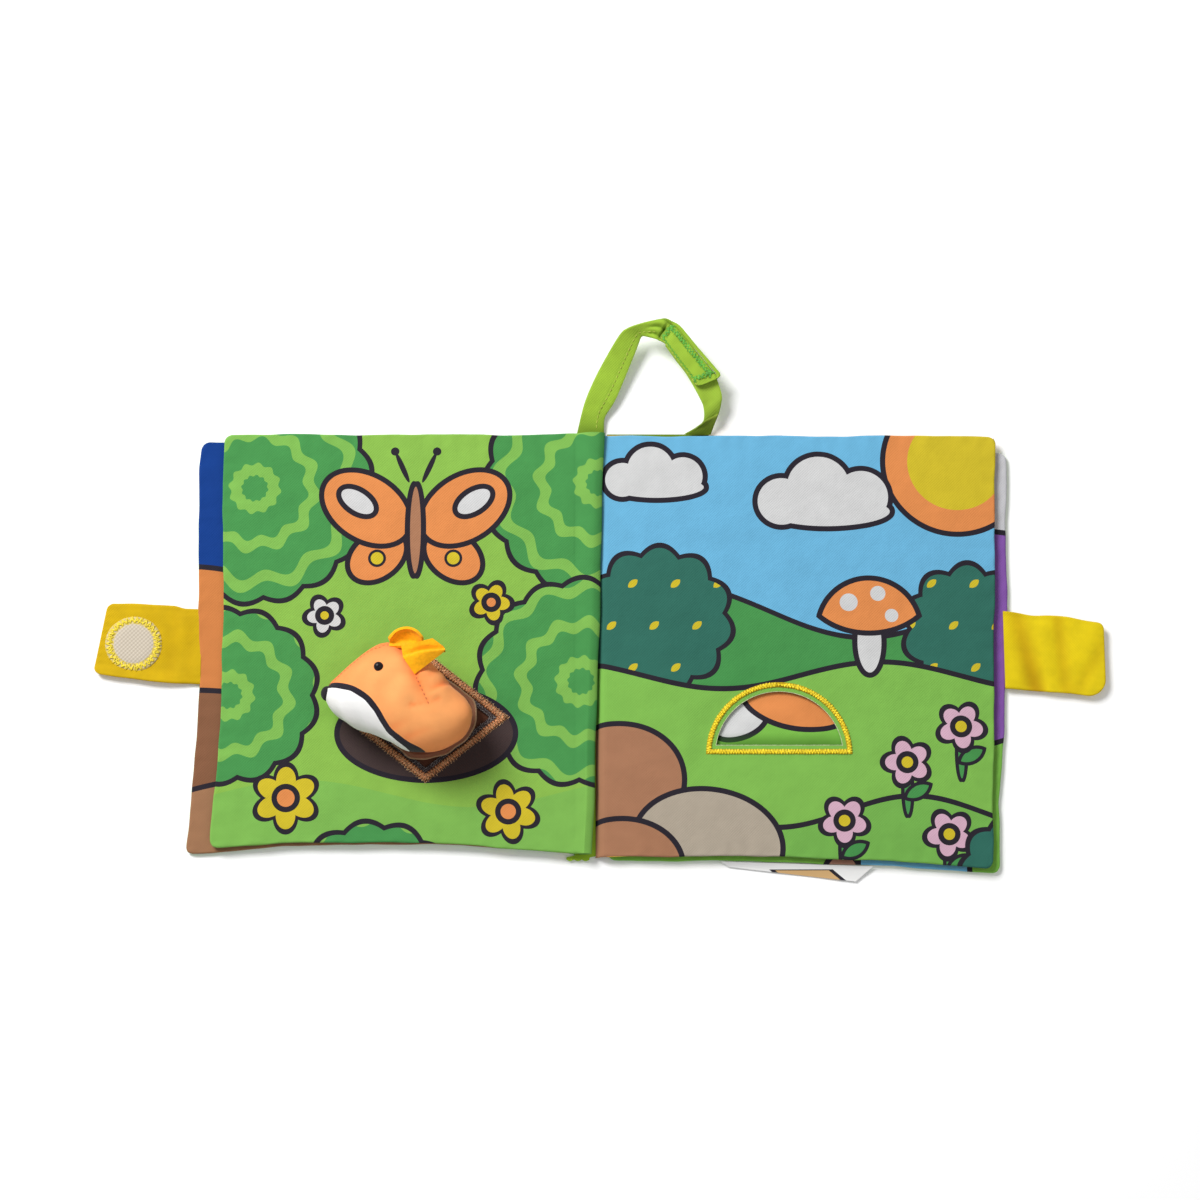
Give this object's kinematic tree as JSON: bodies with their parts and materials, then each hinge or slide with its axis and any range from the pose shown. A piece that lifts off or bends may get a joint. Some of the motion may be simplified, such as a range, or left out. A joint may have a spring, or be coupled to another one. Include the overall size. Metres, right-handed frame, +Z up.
{
  "type": "cloth activity book",
  "caption": "Soft crinkle cloth book lying open flat, with padded covers, two leaves, a plush finger puppet through a diamond hole, a half-moon window, closure tabs and a strap handle.",
  "frame": {"origin": "on the table, under the middle of the spine's outer strip", "axes": "+X to the right across the open book, +Y to the head of the pages, +Z up off the table"},
  "size_m": [0.4483, 0.2536, 0.0401],
  "materials": {
    "cover_cloth": "matte woven cotton",
    "brown_print": "matte woven cotton, printed",
    "purple_print": "matte woven cotton, printed",
    "green_print": "matte woven cotton, printed",
    "sky_print": "matte woven cotton, printed",
    "crinkle_film": "thin glossy film",
    "batting": "soft polyester fill",
    "copper_satin": "satin stitch",
    "yellow_cloth": "matte woven cotton",
    "hook_and_loop": "napped tape",
    "lime_strap": "matte woven strap",
    "orange_plush": "short plush",
    "white_plush": "short plush",
    "yellow_felt": "felt",
    "dark_felt": "felt",
    "white_satin": "satin ribbon"
  },
  "bodies": {
    "spine": {"spine_outer_strip": "cover_cloth", "spine_binding_tape": "lime_strap", "handle_anchor_strap": "lime_strap", "first_leaf_gutter_roll": "green_print", "second_leaf_gutter_roll": "sky_print"},
    "front_cover": {"front_cover_outer_panel": "cover_cloth", "front_cover_batting": "batting", "front_cover_crinkle_film": "crinkle_film", "front_cover_inner_panel": "brown_print", "finger_hole_ring": "copper_satin", "puppet_sleeve": "copper_satin"},
    "first_leaf": {"first_leaf_back_panel": "green_print", "first_leaf_crinkle_film": "crinkle_film", "first_leaf_front_panel": "green_print", "diamond_hole_rim": "copper_satin"},
    "second_leaf": {"second_leaf_back_panel": "sky_print", "second_leaf_crinkle_film": "crinkle_film", "second_leaf_front_panel": "sky_print", "half_moon_rim": "yellow_cloth"},
    "back_cover": {"back_cover_outer_panel": "cover_cloth", "back_cover_batting": "batting", "back_cover_crinkle_film": "crinkle_film", "back_cover_inner_panel": "purple_print"},
    "left_tab": {"left_tab_strap": "yellow_cloth", "left_tab_hook_disc": "hook_and_loop", "left_tab_disc_stitching": "yellow_cloth"},
    "right_tab": {"right_tab_strap": "yellow_cloth", "right_tab_loop_disc": "hook_and_loop", "right_tab_disc_stitching": "yellow_cloth"},
    "handle": {"handle_long_strap": "lime_strap", "handle_short_strap": "lime_strap", "handle_loop_patch": "lime_strap"},
    "handle_tip": {"handle_tip_strap": "lime_strap", "handle_hook_patch": "lime_strap"},
    "puppet": {"puppet_head": "orange_plush", "puppet_chin": "white_plush", "puppet_near_ear": "yellow_felt", "puppet_far_ear": "yellow_felt", "puppet_eye": "dark_felt", "puppet_nose": "dark_felt"},
    "seam_tag": {"seam_tag": "white_satin"}
  },
  "joints": [
    {"name": "front_cover_fold", "type": "hinge", "parent": "spine", "child": "front_cover", "pos_m": [-0.00735, 0, 0.0017], "axis": [0, 1, 0], "range_deg": [0, 80], "deforming": ["first_leaf_gutter_roll"]},
    {"name": "back_cover_fold", "type": "hinge", "parent": "spine", "child": "back_cover", "pos_m": [0.00735, 0, 0.0017], "axis": [0, -1, 0], "range_deg": [0, 80], "deforming": ["second_leaf_gutter_roll"]},
    {"name": "first_leaf_turn", "type": "hinge", "parent": "front_cover", "child": "first_leaf", "pos_m": [-0.0034, 0, 0.00625], "axis": [0, -1, 0], "range_deg": [-180, 0], "deforming": ["first_leaf_gutter_roll", "second_leaf_gutter_roll", "puppet_head", "puppet_chin", "puppet_near_ear", "puppet_far_ear", "puppet_eye", "puppet_nose"]},
    {"name": "second_leaf_turn", "type": "hinge", "parent": "back_cover", "child": "second_leaf", "pos_m": [0.0034, 0, 0.00625], "axis": [0, 1, 0], "range_deg": [-155, 0], "deforming": ["first_leaf_gutter_roll", "second_leaf_gutter_roll"]},
    {"name": "puppet_tilt", "type": "hinge", "parent": "front_cover", "child": "puppet", "pos_m": [-0.054, -0.0318, 0.009], "axis": [0, 1, 0], "range_deg": [0, 55]},
    {"name": "left_tab_fold", "type": "hinge", "parent": "front_cover", "child": "left_tab", "pos_m": [-0.17554, 0.001, 0.00245], "axis": [0.0129, 0.9999, 0], "range_deg": [0, 105]},
    {"name": "right_tab_fold", "type": "hinge", "parent": "back_cover", "child": "right_tab", "pos_m": [0.18408, -0.001, 0.0025], "axis": [-0.0336, -0.9994, 0], "range_deg": [0, 105]},
    {"name": "handle_swing", "type": "hinge", "parent": "spine", "child": "handle", "pos_m": [0, 0.0984, 0.0017], "axis": [-1, 0, 0], "range_deg": [-65, 0]},
    {"name": "handle_tip_peel", "type": "hinge", "parent": "handle", "child": "handle_tip", "pos_m": [0.0333, 0.1447, 0.0116], "axis": [-0.4299, -0.8864, -0.172], "range_deg": [0, 100]},
    {"name": "seam_tag_flip", "type": "hinge", "parent": "back_cover", "child": "seam_tag", "pos_m": [0.091, -0.09656, 0.00196], "axis": [-0.9995, 0.0307, 0], "range_deg": [0, 90]}
  ]
}
